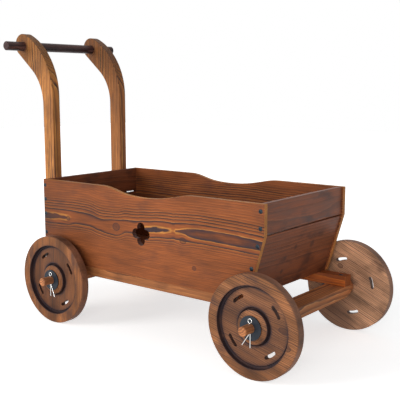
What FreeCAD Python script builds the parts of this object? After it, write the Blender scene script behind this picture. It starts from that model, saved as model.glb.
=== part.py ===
"""Four-wheeled garden cart used as a planter stand, built from planed boards.

Frame: +X is the cart's front, +Y its far side, +Z up, in millimetres. The origin is on
the ground, under the middle of the overall length and width.
"""
import FreeCAD, Part
import math
import os
from FreeCAD import Vector as V

# ---------------------------------------------------------------- driving dimensions (mm)
# wheels: turned discs with a raised rim ring, a recessed face and a hub boss
WHEEL_RADIUS = 90.0
WHEEL_THICKNESS = 18.0
REAR_AXLE_INSET = 60.0      # from the box's rear end to the rear axle
RIM_RING_WIDTH = 19.0
FACE_RECESS = 7.7
BEAD_SETBACK = 3.4          # from the rim's inner wall to the turned line beside it
BEAD_LINE_WIDTH = 1.4
BEAD_LINE_DEPTH = 1.3
HUB_RADIUS = 29.7
HUB_CAP_RADIUS = 22.0       # flat top of the boss, which the washer rests against
HUB_SHOULDER = 3.6          # how far the boss falls away from its flat top to its edge
HUB_PROUD = 0.6             # how far the boss stands past the rim ring
HUB_GROOVE_WIDTH = 3.6
HUB_GROOVE_DEPTH = 3.2
HUB_GROOVE_FLAT = 0.6       # width of the groove's floor
WHEEL_EDGE_EASE = 1.2
SLOT_COUNT = 4
SLOT_FROM_RIM = 17.0        # from the rim's inner wall to the middle of a slot
SLOT_WIDTH = 6.0
SLOT_SWEEP = 20.0           # degrees between the centres of a slot's round ends
WHEEL_TURN = {"near_front": 37.0, "near_rear": 32.0, "far_front": 15.0, "far_rear": 50.0}

# axles: flat beams whose ends are turned down to a round spindle
BEAM_WIDTH = 43.0
BEAM_HEIGHT = 21.5
SPINDLE_DIAMETER = 16.5
SPINDLE_TIP = 24.0          # spindle past the washer
SPINDLE_TIP_EASE = 1.2
TAPER_LENGTH = 78.0         # of each end, up to its shoulder
TAPER_BULGE = 3.3           # of the taper's curve beyond a straight line
SHOULDER_RADIUS = 14.0
WHEEL_TO_PANEL = 17.0       # from the side panel's outer face to the beam's shoulder
WHEEL_SIDE_PLAY = 0.5       # between wheel and beam shoulder, and wheel and washer
WHEEL_RUNNING_CLEARANCE = 0.08

# washers and split pins that keep the wheels on
WASHER_RADIUS = 21.0
WASHER_THICKNESS = 1.8
WASHER_FIT = 0.15
PIN_WIRE = 1.7
PIN_EYE_RADIUS = 3.6        # to the middle of the wire
PIN_LEG_DROP = 33.0         # from the spindle's axis to the straight leg's end
PIN_BEND_DROP = 1.3         # from the spindle's surface to the other leg's bend
PIN_BENT_LENGTH = 26.0
# degrees that one leg of each pin is bent, from straight down towards the front
PIN_BEND = {"near_front": -34.0, "near_rear": 22.0, "far_front": -34.0, "far_rear": 22.0}
PIN_LEG_GAP = 0.12
PIN_FIT = 0.1

# box: two side panels, front and rear boards, floor boards
PANEL_GAUGE = 263.0         # between the inner faces of the side panels
BOARD_THICKNESS = 9.5
PANEL_LENGTH = 555.0        # from the rear end to the front edge at the top
PANEL_HEIGHT = 169.0
FRONT_UPRIGHT = 54.5        # height of the upright stretch of the panel's front edge
FRONT_LEAN = 16.4           # degrees that the front leans back below it
FRONT_BOARD_RECESS = 3.0
BOARD_JOINT_GAP = 2.6       # between an upper and a lower board
FLOOR_BOARD_COUNT = 5
FLOOR_BOARD_GAP = 2.0
EDGE_EASE = 1.0
DIP_CENTRE = 12.0           # of the panel's top edge, ahead of the panel's middle
DIP_HALF_WIDTH = 115.0
DIP_DEPTH = 14.5
DIP_SHAPE = ((-1.0, 0.0), (-0.55, 0.66), (-0.1, 1.0), (0.3, 0.85), (0.65, 0.36), (1.0, 0.0))
CUTOUT_RISE = 85.0          # centre of the four-lobed cut-out above the panel's lower edge
LOBE_RADIUS = 9.8
LOBE_OFFSET = 12.4

# rails under the floor
RAIL_WIDTH = 23.0
RAIL_HEIGHT = 21.0

# handle: two hooked posts and a round bar
POST_THICKNESS = 20.0
POST_DEPTH = 31.0
POST_INSET = 22.0           # from the side panel's inner face to the post's outer face
HOOK_BEND_HEIGHT = 323.0    # from the box's bottom to where the post starts to curve
HOOK_LEAD = 17.0            # the front edge starts to curve this much higher than the rear edge
HOOK_BEND_RADIUS = 95.0     # of the rear edge
HOOK_SWEEP = 50.0           # degrees that the rear edge turns
HOOK_STRAIGHT = 56.6        # of the rear edge, from its bend to the round end
HOOK_END_RADIUS = 22.8
POST_EDGE_EASE = 1.5
BAR_DIAMETER = 19.0
BAR_OVERHANG = 46.0         # of each free end beyond its post
BAR_FIT = 0.15
BAR_AHEAD_OF_HOOK_END = 3.6
BAR_BELOW_HOOK_END = 3.9
BAR_END_EASE = 1.5

# screws
SCREW_HEAD_DIAMETER = 8.0
SCREW_HEAD_HEIGHT = 1.8
SCREW_HEAD_SUNK = 0.2
SCREW_SHANK = 4.0
SCREW_TIP = 3.0
SCREW_TIP_DIAMETER = 1.0
SCREW_FIT = 0.08
SCREW_CROSS_WIDTH = 1.1
SCREW_CROSS_SPAN = 4.4
SCREW_CROSS_DEPTH = 0.9
SIDE_SCREW_LENGTH = 30.0
POST_SCREW_BITE = 7.0       # of a post screw in the rear board
BEAM_SCREW_BITE = 14.0      # of a rail screw in the axle beam
RAIL_SCREW_AHEAD = 8.0      # of the axle
RAIL_SCREW_INSET = 7.6      # of both the rail's and the floor's screws from the rail's sides
FLOOR_SCREW_LENGTH = 22.0
BAR_SCREW_BITE = 13.0       # of a hook screw in the bar
SCREW_FROM_EDGE = 12.5      # side screws from a board's long edges
LOWER_SCREW_DROP = 16.5     # of the side screw below the joint between the boards
POST_SCREW_FROM_EDGE = 25.0
BAR_SCREW_ANGLE = 125.0     # of the hook screw about the bar, from +X towards +Z

# modelling allowances
OVERCUT = 1.0               # how far a cutter reaches past a face
SAME = 1e-6                 # lengths that differ by less are equal

# ---------------------------------------------------------------- derived sizes and places
AXLE_Z = WHEEL_RADIUS
RIM_INNER_RADIUS = WHEEL_RADIUS - RIM_RING_WIDTH
SLOT_PATH_RADIUS = RIM_INNER_RADIUS - SLOT_FROM_RIM
RAIL_Z = AXLE_Z + BEAM_HEIGHT / 2
BOX_Z = RAIL_Z + RAIL_HEIGHT
BOX_TOP_Z = BOX_Z + PANEL_HEIGHT
FLOOR_TOP_Z = BOX_Z + BOARD_THICKNESS
KINK_Z = BOX_TOP_Z - FRONT_UPRIGHT
LEAN = math.tan(math.radians(FRONT_LEAN))

PANEL_INNER_Y = PANEL_GAUGE / 2
PANEL_OUTER_Y = PANEL_INNER_Y + BOARD_THICKNESS
RAIL_INNER_Y = PANEL_INNER_Y - RAIL_WIDTH
POST_OUTER_Y = PANEL_INNER_Y - POST_INSET
POST_INNER_Y = POST_OUTER_Y - POST_THICKNESS
POST_MID_Y = POST_OUTER_Y - POST_THICKNESS / 2
BAR_END_Y = POST_OUTER_Y + BAR_OVERHANG

SHOULDER_Y = PANEL_OUTER_Y + WHEEL_TO_PANEL
WHEEL_INNER_Y = SHOULDER_Y + WHEEL_SIDE_PLAY
RIM_FACE_Y = WHEEL_INNER_Y + WHEEL_THICKNESS
HUB_FACE_Y = RIM_FACE_Y + HUB_PROUD
WASHER_Y = HUB_FACE_Y + WHEEL_SIDE_PLAY
PIN_Y = WASHER_Y + WASHER_THICKNESS + PIN_FIT + PIN_WIRE / 2
PIN_HOLE_RADIUS = PIN_WIRE + PIN_LEG_GAP / 2 + PIN_FIT
SPINDLE_END_Y = WASHER_Y + WASHER_THICKNESS + SPINDLE_TIP
BEAM_CORNER_RADIUS = math.hypot(BEAM_WIDTH, BEAM_HEIGHT) / 2


def along(angle):
    """Unit vector in the XZ plane, turned by angle degrees from +X towards +Z."""
    return V(math.cos(math.radians(angle)), 0, math.sin(math.radians(angle)))


def hook_layout(rear_x):
    """Bend centre, end centre and front radius of the hook on a box that ends at rear_x."""
    bend = V(rear_x - POST_DEPTH - HOOK_BEND_RADIUS, 0, BOX_Z + HOOK_BEND_HEIGHT)
    end = bend + along(HOOK_SWEEP) * (HOOK_BEND_RADIUS + HOOK_END_RADIUS)
    end += along(HOOK_SWEEP + 90) * HOOK_STRAIGHT
    # the front edge's arc starts upright and touches the end's circle from outside
    across = end.x - rear_x
    rise = end.z - bend.z - HOOK_LEAD
    front_radius = (across ** 2 + rise ** 2 - HOOK_END_RADIUS ** 2) / (-2 * (across + HOOK_END_RADIUS))
    return bend, end, front_radius


# the box's rear end is placed so that the origin falls in the middle of the overall length
HOOK_REACH = HOOK_END_RADIUS - hook_layout(0.0)[1].x
FRONT_REACH = PANEL_LENGTH + WHEEL_RADIUS
BOX_REAR_X = (HOOK_REACH - FRONT_REACH) / 2
BOX_FRONT_X = BOX_REAR_X + PANEL_LENGTH
FRONT_AXLE_X = BOX_FRONT_X
REAR_AXLE_X = BOX_REAR_X + REAR_AXLE_INSET
PANEL_MID_X = BOX_REAR_X + PANEL_LENGTH / 2
FRONT_FACE_X = BOX_FRONT_X - FRONT_BOARD_RECESS
LEAN_THICKNESS = BOARD_THICKNESS / math.cos(math.radians(FRONT_LEAN))
RAIL_FRONT_X = FRONT_AXLE_X + BEAM_WIDTH / 2
JOINT_Z = KINK_Z - BOARD_JOINT_GAP / 2
HOOK_BEND, HOOK_END, HOOK_FRONT_RADIUS = hook_layout(BOX_REAR_X)
BAR_X = HOOK_END.x + BAR_AHEAD_OF_HOOK_END
BAR_Z = HOOK_END.z - BAR_BELOW_HOOK_END


# ---------------------------------------------------------------- helpers
def eased_box(x0, x1, y0, y1, z0, z1, ease=EDGE_EASE):
    """Board between two corners, with all its edges eased by a small round."""
    board = Part.makeBox(x1 - x0, y1 - y0, z1 - z0, V(x0, y0, z0))
    return board.makeFillet(ease, board.Edges)


def prism(edges, y0, y1):
    """Solid with an outline of XZ edges, from y0 to y1."""
    face = Part.Face(Part.Wire(edges))
    face.translate(V(0, y0, 0))
    return face.extrude(V(0, y1 - y0, 0))


def ease_outline(solid, y_faces, ease):
    """Round the edges that lie in the planes y_faces."""
    picked = [
        edge for edge in solid.Edges
        if any(abs(edge.BoundBox.YMin - y) < SAME and abs(edge.BoundBox.YMax - y) < SAME
               for y in y_faces)
    ]
    return solid.makeFillet(ease, picked)


def polyline(points):
    """Straight edges through points in turn."""
    return [Part.makeLine(a, b) for a, b in zip(points[:-1], points[1:])]


def both_sides(near):
    """A piece and its mirror image on the far side."""
    return near, near.mirror(V(0, 0, 0), V(0, 1, 0))


def screw(head, direction, length):
    """Screw whose head lies just under the point head, pointing along direction."""
    inward = direction * (1 / direction.Length)
    top = head + inward * SCREW_HEAD_SUNK
    body = Part.makeCylinder(SCREW_HEAD_DIAMETER / 2, SCREW_HEAD_HEIGHT, V(0, 0, 0), V(0, 0, 1))
    straight = length - SCREW_TIP
    body = body.fuse(Part.makeCylinder(SCREW_SHANK / 2, straight, V(0, 0, 0), V(0, 0, 1)))
    tip = Part.makeCone(SCREW_SHANK / 2, SCREW_TIP_DIAMETER / 2, SCREW_TIP,
                        V(0, 0, straight), V(0, 0, 1))
    body = body.fuse(tip).removeSplitter()
    for span_x, span_y in ((SCREW_CROSS_SPAN, SCREW_CROSS_WIDTH),
                           (SCREW_CROSS_WIDTH, SCREW_CROSS_SPAN)):
        slot = Part.makeBox(span_x, span_y, SCREW_CROSS_DEPTH, V(-span_x / 2, -span_y / 2, 0))
        body = body.cut(slot)
    body.Placement = FreeCAD.Placement(top, FreeCAD.Rotation(V(0, 0, 1), inward))
    return body


def screw_hole(head, direction, length):
    """Hole for the screw of the same place and length: a sunk seat and a bore."""
    inward = direction * (1 / direction.Length)
    seat_depth = OVERCUT + SCREW_HEAD_SUNK + SCREW_HEAD_HEIGHT
    seat = Part.makeCylinder(SCREW_HEAD_DIAMETER / 2 + SCREW_FIT, seat_depth,
                             head - inward * OVERCUT, inward)
    bore_length = SCREW_HEAD_SUNK + length + SCREW_FIT
    bore = Part.makeCylinder(SCREW_SHANK / 2 + SCREW_FIT, bore_length, head, inward)
    return seat.fuse(bore)


def drilled(piece, places):
    """The piece with a hole for each screw in places that reaches it."""
    for place in places:
        piece = piece.cut(screw_hole(*place))
    return piece


def mirrored(places):
    """Screw places on the far side."""
    return [(V(p.x, -p.y, p.z), V(d.x, -d.y, d.z), length) for p, d, length in places]


# ---------------------------------------------------------------- screw places
def lean_x(z, depth=0.0):
    """X of the lower front board at height z, depth behind its outer face."""
    return FRONT_FACE_X - (KINK_Z - z) * LEAN - depth / math.cos(math.radians(FRONT_LEAN))


def side_screw_places():
    """Near panel's screws, into the ends of the front and rear boards."""
    upper = (BOX_TOP_Z - SCREW_FROM_EDGE, KINK_Z + SCREW_FROM_EDGE)
    lower = (JOINT_Z - LOWER_SCREW_DROP, (JOINT_Z + BOX_Z) / 2, BOX_Z + SCREW_FROM_EDGE)
    places = []
    for z in upper:
        places.append((FRONT_FACE_X - BOARD_THICKNESS / 2, z))
    for z in lower:
        places.append((lean_x(z, BOARD_THICKNESS / 2), z))
    for z in upper + lower:
        places.append((BOX_REAR_X + BOARD_THICKNESS / 2, z))
    return [(V(x, -PANEL_OUTER_Y, z), V(0, 1, 0), SIDE_SCREW_LENGTH) for x, z in places]


def post_screw_places():
    """Near post's screws, from behind into the rear boards."""
    length = POST_DEPTH + POST_SCREW_BITE - SCREW_HEAD_SUNK
    heights = (BOX_TOP_Z - POST_SCREW_FROM_EDGE, (JOINT_Z + BOX_Z) / 2,
               BOX_Z + POST_SCREW_FROM_EDGE)
    return [(V(BOX_REAR_X - POST_DEPTH, -POST_MID_Y, z), V(1, 0, 0), length) for z in heights]


def rail_screw_places():
    """Near rail's screws, down into the axle beams."""
    y = RAIL_INNER_Y + RAIL_SCREW_INSET
    length = RAIL_HEIGHT + BEAM_SCREW_BITE
    return [(V(x + RAIL_SCREW_AHEAD, -y, BOX_Z), V(0, 0, -1), length)
            for x in (FRONT_AXLE_X, REAR_AXLE_X)]


def floor_board_spans():
    """Start and end X of each floor board."""
    start = BOX_REAR_X + BOARD_THICKNESS
    end = lean_x(BOX_Z) - LEAN_THICKNESS
    width = (end - start - (FLOOR_BOARD_COUNT - 1) * FLOOR_BOARD_GAP) / FLOOR_BOARD_COUNT
    return [(start + i * (width + FLOOR_BOARD_GAP), start + i * (width + FLOOR_BOARD_GAP) + width)
            for i in range(FLOOR_BOARD_COUNT)]


def floor_screw_places():
    """Near rail's screws through the floor boards, clear of the rail's own screws."""
    y = PANEL_INNER_Y - RAIL_SCREW_INSET
    return [(V((a + b) / 2, -y, FLOOR_TOP_Z), V(0, 0, -1), FLOOR_SCREW_LENGTH)
            for a, b in floor_board_spans()]


def bar_screw_place():
    """Screw from the top of the near hook into the bar."""
    bar = V(BAR_X, 0, BAR_Z)
    ray = along(BAR_SCREW_ANGLE)
    # where the ray from the bar's axis leaves the hook's round end
    offset = bar - HOOK_END
    half = offset.dot(ray)
    reach = -half + math.sqrt(half ** 2 - offset.dot(offset) + HOOK_END_RADIUS ** 2)
    head = bar + ray * reach + V(0, -POST_MID_Y, 0)
    return (head, ray * -1, reach - BAR_DIAMETER / 2 + BAR_SCREW_BITE)


# ---------------------------------------------------------------- sub-parts
def panel_outline():
    """Edges of a side panel: flat rear end, dipped top, front upright and then leaning back."""
    centre = PANEL_MID_X + DIP_CENTRE
    points = [V(centre + a * DIP_HALF_WIDTH, 0, BOX_TOP_Z - b * DIP_DEPTH) for a, b in DIP_SHAPE]
    curve = Part.BSplineCurve()
    curve.interpolate(points, InitialTangent=V(1, 0, 0), FinalTangent=V(1, 0, 0))
    toe_x = BOX_FRONT_X - (KINK_Z - BOX_Z) * LEAN
    before = polyline([V(BOX_REAR_X, 0, BOX_Z), V(BOX_REAR_X, 0, BOX_TOP_Z), points[0]])
    after = polyline([points[-1], V(BOX_FRONT_X, 0, BOX_TOP_Z), V(BOX_FRONT_X, 0, KINK_Z),
                      V(toe_x, 0, BOX_Z), V(BOX_REAR_X, 0, BOX_Z)])
    return before + [curve.toShape()] + after


def cutout():
    """Four-lobed hole through the near panel."""
    centre = V(PANEL_MID_X, -PANEL_OUTER_Y - OVERCUT, BOX_Z + CUTOUT_RISE)
    depth = BOARD_THICKNESS + 2 * OVERCUT
    lobes = [Part.makeCylinder(LOBE_RADIUS, depth, centre + along(90 * i) * LOBE_OFFSET, V(0, 1, 0))
             for i in range(4)]
    # the middle is cleared as far as halfway between neighbouring lobes' centres
    middle = Part.makeCylinder(LOBE_OFFSET * math.cos(math.radians(45)), depth, centre, V(0, 1, 0))
    return middle.multiFuse(lobes).removeSplitter()


def side_panel():
    """Near side panel."""
    panel = prism(panel_outline(), -PANEL_OUTER_Y, -PANEL_INNER_Y)
    panel = ease_outline(panel, (-PANEL_OUTER_Y, -PANEL_INNER_Y), EDGE_EASE)
    return drilled(panel.cut(cutout()), side_screw_places())


def front_board_upper():
    """Upright board across the front."""
    return eased_box(FRONT_FACE_X - BOARD_THICKNESS, FRONT_FACE_X, -PANEL_INNER_Y, PANEL_INNER_Y,
                     KINK_Z + BOARD_JOINT_GAP / 2, BOX_TOP_Z)


def front_board_lower():
    """Board across the front below it, leaning back."""
    corners = [V(lean_x(BOX_Z), 0, BOX_Z), V(lean_x(JOINT_Z), 0, JOINT_Z),
               V(lean_x(JOINT_Z, BOARD_THICKNESS), 0, JOINT_Z),
               V(lean_x(BOX_Z, BOARD_THICKNESS), 0, BOX_Z)]
    board = prism(polyline(corners + corners[:1]), -PANEL_INNER_Y, PANEL_INNER_Y)
    return board.makeFillet(EDGE_EASE, board.Edges)


def rear_board(z0, z1):
    """Board across the rear, between the panels."""
    return eased_box(BOX_REAR_X, BOX_REAR_X + BOARD_THICKNESS, -PANEL_INNER_Y, PANEL_INNER_Y, z0, z1)


def floor_board(span):
    """Floor board across both rails."""
    return eased_box(span[0], span[1], -PANEL_INNER_Y, PANEL_INNER_Y, BOX_Z, FLOOR_TOP_Z)


def rail():
    """Near lengthwise rail, from the box's rear end to the front of the front axle beam."""
    return eased_box(BOX_REAR_X, RAIL_FRONT_X, -PANEL_INNER_Y, -RAIL_INNER_Y, RAIL_Z, BOX_Z)


def axle_beam(x):
    """Flat beam with both ends tapered and turned down to spindles, drilled for the split pins."""
    spindle = SPINDLE_DIAMETER / 2
    start = V(BEAM_CORNER_RADIUS, SHOULDER_Y - TAPER_LENGTH, 0)
    stop = V(SHOULDER_RADIUS, SHOULDER_Y, 0)
    outward = V(stop.y - start.y, start.x - stop.x, 0).normalize()
    edges = polyline([V(0, 0, 0), V(start.x, 0, 0), start])
    edges.append(Part.Arc(start, (start + stop) * 0.5 + outward * TAPER_BULGE, stop).toShape())
    edges += polyline([stop, V(spindle, SHOULDER_Y, 0),
                       V(spindle, SPINDLE_END_Y - SPINDLE_TIP_EASE, 0),
                       V(spindle - SPINDLE_TIP_EASE, SPINDLE_END_Y, 0), V(0, SPINDLE_END_Y, 0),
                       V(0, 0, 0)])
    turned = Part.Face(Part.Wire(edges)).revolve(V(0, 0, 0), V(0, 1, 0), 360)
    turned = turned.fuse(turned.mirror(V(0, 0, 0), V(0, 1, 0))).removeSplitter()
    half_length = SPINDLE_END_Y + OVERCUT
    blank = Part.makeBox(BEAM_WIDTH, 2 * half_length, BEAM_HEIGHT,
                         V(-BEAM_WIDTH / 2, -half_length, -BEAM_HEIGHT / 2))
    long_edges = [e for e in blank.Edges if e.BoundBox.YLength > SPINDLE_END_Y]
    beam = turned.common(blank.makeFillet(EDGE_EASE, long_edges))
    for side in (-1, 1):
        hole = Part.makeCylinder(PIN_HOLE_RADIUS, SPINDLE_DIAMETER + 2 * OVERCUT,
                                 V(0, side * PIN_Y, -spindle - OVERCUT), V(0, 0, 1))
        beam = beam.cut(hole)
    beam.translate(V(x, 0, AXLE_Z))
    return beam


def wheel_profile():
    """Half section of a wheel as XY edges: radius along X, distance from its inner face along Y."""
    bore = SPINDLE_DIAMETER / 2 + WHEEL_RUNNING_CLEARANCE
    rim = RIM_INNER_RADIUS
    face = WHEEL_THICKNESS - FACE_RECESS
    cap = WHEEL_THICKNESS + HUB_PROUD
    line_outer = rim - BEAD_SETBACK
    line_inner = line_outer - BEAD_LINE_WIDTH
    lip = HUB_RADIUS + HUB_GROOVE_WIDTH
    ease = WHEEL_EDGE_EASE
    points = [(bore, 0), (WHEEL_RADIUS - ease, 0), (WHEEL_RADIUS, ease),
              (WHEEL_RADIUS, WHEEL_THICKNESS - ease), (WHEEL_RADIUS - ease, WHEEL_THICKNESS),
              (rim, WHEEL_THICKNESS), (rim, face), (line_outer, face),
              ((line_outer + line_inner) / 2, face - BEAD_LINE_DEPTH), (line_inner, face),
              (lip, face), (HUB_RADIUS + HUB_GROOVE_FLAT, face - HUB_GROOVE_DEPTH),
              (HUB_RADIUS, face - HUB_GROOVE_DEPTH), (HUB_RADIUS, cap - HUB_SHOULDER),
              (HUB_CAP_RADIUS, cap), (bore, cap), (bore, 0)]
    return polyline([V(r, t, 0) for r, t in points])


def slot(turn):
    """Cutter for a curved slot through a wheel, with its middle at turn degrees."""
    radii = (SLOT_PATH_RADIUS - SLOT_WIDTH / 2, SLOT_PATH_RADIUS + SLOT_WIDTH / 2)
    a, b = turn - SLOT_SWEEP / 2, turn + SLOT_SWEEP / 2
    edges = [
        Part.Arc(along(a) * radii[0], along(turn) * radii[0], along(b) * radii[0]).toShape(),
        Part.Arc(along(b) * radii[0], along(b) * SLOT_PATH_RADIUS + along(b + 90) * SLOT_WIDTH / 2,
                 along(b) * radii[1]).toShape(),
        Part.Arc(along(b) * radii[1], along(turn) * radii[1], along(a) * radii[1]).toShape(),
        Part.Arc(along(a) * radii[1], along(a) * SLOT_PATH_RADIUS - along(a + 90) * SLOT_WIDTH / 2,
                 along(a) * radii[0]).toShape(),
    ]
    return prism(edges, -OVERCUT, WHEEL_THICKNESS + OVERCUT)


def wheel(x, side, turn):
    """Wheel on the side given by -1 (near) or 1 (far)."""
    disc = Part.Face(Part.Wire(wheel_profile())).revolve(V(0, 0, 0), V(0, 1, 0), 360)
    for i in range(SLOT_COUNT):
        disc = disc.cut(slot(turn + i * 360 / SLOT_COUNT))
    disc.translate(V(0, WHEEL_INNER_Y, 0))
    if side < 0:
        disc = disc.mirror(V(0, 0, 0), V(0, 1, 0))
    disc.translate(V(x, 0, AXLE_Z))
    return disc


def washer(x, side):
    """Flat washer between a hub and its split pin."""
    base = V(x, side * WASHER_Y, AXLE_Z)
    disc = Part.makeCylinder(WASHER_RADIUS, WASHER_THICKNESS, base, V(0, side, 0))
    hole = Part.makeCylinder(SPINDLE_DIAMETER / 2 + WASHER_FIT, WASHER_THICKNESS, base, V(0, side, 0))
    return disc.cut(hole)


def split_pin(x, side, bend):
    """Split pin down through a spindle: an eye on top, a straight leg and one bent by bend."""
    wire = PIN_WIRE / 2
    spread = math.copysign((PIN_WIRE + PIN_LEG_GAP) / 2, bend)
    eye_z = SPINDLE_DIAMETER / 2 + wire + PIN_EYE_RADIUS
    leg_top = eye_z - PIN_EYE_RADIUS
    bend_z = -SPINDLE_DIAMETER / 2 - PIN_BEND_DROP
    eye = Part.makeTorus(PIN_EYE_RADIUS, wire, V(0, 0, eye_z), V(0, 1, 0))
    straight = Part.makeCylinder(wire, leg_top + PIN_LEG_DROP, V(-spread, 0, -PIN_LEG_DROP))
    upper = Part.makeCylinder(wire, leg_top - bend_z, V(spread, 0, bend_z))
    knee = Part.makeSphere(wire, V(spread, 0, bend_z))
    bent = Part.makeCylinder(wire, PIN_BENT_LENGTH, V(spread, 0, bend_z), along(bend - 90))
    pin = eye.multiFuse([straight, upper, knee, bent]).removeSplitter()
    pin.translate(V(x, side * PIN_Y, AXLE_Z))
    return pin


def post_outline():
    """Edges of a hooked post: upright, then curving back into a round end."""
    front_foot = V(BOX_REAR_X, 0, BOX_Z)
    rear_foot = V(BOX_REAR_X - POST_DEPTH, 0, BOX_Z)
    front_bend = V(BOX_REAR_X, 0, HOOK_BEND.z + HOOK_LEAD)
    front_centre = front_bend - V(HOOK_FRONT_RADIUS, 0, 0)
    rear_bend = HOOK_BEND + V(HOOK_BEND_RADIUS, 0, 0)
    to_end = HOOK_END - front_centre
    crown_angle = math.degrees(math.atan2(to_end.z, to_end.x))
    crown = HOOK_END + along(crown_angle) * HOOK_END_RADIUS
    throat = HOOK_END - along(HOOK_SWEEP) * HOOK_END_RADIUS
    rear_stop = HOOK_BEND + along(HOOK_SWEEP) * HOOK_BEND_RADIUS
    tip_angle = (crown_angle + HOOK_SWEEP + 180) / 2
    return [
        Part.makeLine(front_foot, front_bend),
        Part.Arc(front_bend, front_centre + along(crown_angle / 2) * HOOK_FRONT_RADIUS,
                 crown).toShape(),
        Part.Arc(crown, HOOK_END + along(tip_angle) * HOOK_END_RADIUS, throat).toShape(),
        Part.makeLine(throat, rear_stop),
        Part.Arc(rear_stop, HOOK_BEND + along(HOOK_SWEEP / 2) * HOOK_BEND_RADIUS,
                 rear_bend).toShape(),
        Part.makeLine(rear_bend, rear_foot),
        Part.makeLine(rear_foot, front_foot),
    ]


def handle_post():
    """Near handle post, bored for the bar."""
    faces = (-POST_OUTER_Y, -POST_INNER_Y)
    post = ease_outline(prism(post_outline(), *faces), faces, POST_EDGE_EASE)
    bore = Part.makeCylinder(BAR_DIAMETER / 2 + BAR_FIT, POST_THICKNESS + 2 * OVERCUT,
                             V(BAR_X, faces[0] - OVERCUT, BAR_Z), V(0, 1, 0))
    return drilled(post.cut(bore), post_screw_places() + [bar_screw_place()])


def handle_bar():
    """Round bar through both hooks."""
    bar = Part.makeCylinder(BAR_DIAMETER / 2, 2 * BAR_END_Y, V(BAR_X, -BAR_END_Y, BAR_Z), V(0, 1, 0))
    ends = [e for e in bar.Edges if e.BoundBox.YLength < SAME]
    bar = bar.makeChamfer(BAR_END_EASE, ends)
    return drilled(bar, [bar_screw_place()] + mirrored([bar_screw_place()]))


def screw_group(places):
    """Identical screws as separate solids in one node."""
    return Part.makeCompound([screw(*place) for place in places])


# ---------------------------------------------------------------- assembly
def build():
    """All nodes by name."""
    side = side_screw_places()
    posts = post_screw_places()
    rails = rail_screw_places()
    floor = floor_screw_places()
    hooks = [bar_screw_place()]
    side_all = side + mirrored(side)
    nodes = {}
    nodes["side_panel_near"], nodes["side_panel_far"] = both_sides(side_panel())
    nodes["front_board_upper"] = drilled(front_board_upper(), side_all)
    nodes["front_board_lower"] = drilled(front_board_lower(), side_all)
    lower = rear_board(BOX_Z, JOINT_Z)
    upper = rear_board(KINK_Z + BOARD_JOINT_GAP / 2, BOX_TOP_Z)
    behind = side_all + posts + mirrored(posts)
    nodes["rear_board_upper"] = drilled(upper, behind)
    nodes["rear_board_lower"] = drilled(lower, behind)
    floor_all = floor + mirrored(floor)
    for number, span in enumerate(floor_board_spans(), 1):
        nodes["floor_board_%d" % number] = drilled(floor_board(span), floor_all)
    nodes["rail_near"], nodes["rail_far"] = both_sides(drilled(rail(), rails + floor))
    rails_all = rails + mirrored(rails)
    nodes["axle_beam_front"] = drilled(axle_beam(FRONT_AXLE_X), rails_all)
    nodes["axle_beam_rear"] = drilled(axle_beam(REAR_AXLE_X), rails_all)
    nodes["handle_post_near"], nodes["handle_post_far"] = both_sides(handle_post())
    nodes["handle_bar"] = handle_bar()
    for side_name, sign in (("near", -1), ("far", 1)):
        for end_name, x in (("front", FRONT_AXLE_X), ("rear", REAR_AXLE_X)):
            corner = "%s_%s" % (side_name, end_name)
            nodes["wheel_" + corner] = wheel(x, sign, WHEEL_TURN[corner])
            nodes["washer_" + corner] = washer(x, sign)
            nodes["split_pin_" + corner] = split_pin(x, sign, PIN_BEND[corner])
    nodes["panel_screws_near"] = screw_group(side)
    nodes["panel_screws_far"] = screw_group(mirrored(side))
    nodes["post_screws"] = screw_group(posts + mirrored(posts))
    nodes["rail_screws"] = screw_group(rails_all)
    nodes["floor_screws"] = screw_group(floor_all)
    nodes["hook_screws"] = screw_group(hooks + mirrored(hooks))
    return nodes


os.makedirs("parts", exist_ok=True)
whole = FreeCAD.BoundBox()
for name, shape in build().items():
    shape.exportStep("parts/%s.step" % name)
    whole.add(shape.BoundBox)
print("size %.1f x %.1f x %.1f" % (whole.XLength, whole.YLength, whole.ZLength))
print("middle %.3f %.3f, lowest %.3f" % (whole.Center.x, whole.Center.y, whole.ZMin))
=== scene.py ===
import math
import bmesh
import bpy
from mathutils import Euler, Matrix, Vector


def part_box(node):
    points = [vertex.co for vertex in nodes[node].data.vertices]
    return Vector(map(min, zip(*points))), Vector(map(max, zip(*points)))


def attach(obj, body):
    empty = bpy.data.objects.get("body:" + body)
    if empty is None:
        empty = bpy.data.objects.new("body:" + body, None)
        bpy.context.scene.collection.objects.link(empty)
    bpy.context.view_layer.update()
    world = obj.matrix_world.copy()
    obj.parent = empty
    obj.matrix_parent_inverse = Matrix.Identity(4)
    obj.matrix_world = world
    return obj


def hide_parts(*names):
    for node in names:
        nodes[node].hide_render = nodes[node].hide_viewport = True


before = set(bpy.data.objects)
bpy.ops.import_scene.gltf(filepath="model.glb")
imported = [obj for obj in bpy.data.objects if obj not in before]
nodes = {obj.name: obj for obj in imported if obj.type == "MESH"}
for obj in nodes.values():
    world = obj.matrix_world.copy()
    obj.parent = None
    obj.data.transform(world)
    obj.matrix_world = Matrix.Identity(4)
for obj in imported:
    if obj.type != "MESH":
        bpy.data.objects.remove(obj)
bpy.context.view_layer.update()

MM = 0.001

# ---------------------------------------------------------------- the camera of the photograph
CAMERA_PLACE = (0.9585, -1.1524, 0.4838)
CAMERA_TURN = (81.218, 0.140, 38.916)    # degrees about X, Y and Z
LENS = 67.13
SENSOR = 36.0
LENS_SHIFT = (0.0159, 0.0017)

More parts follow.
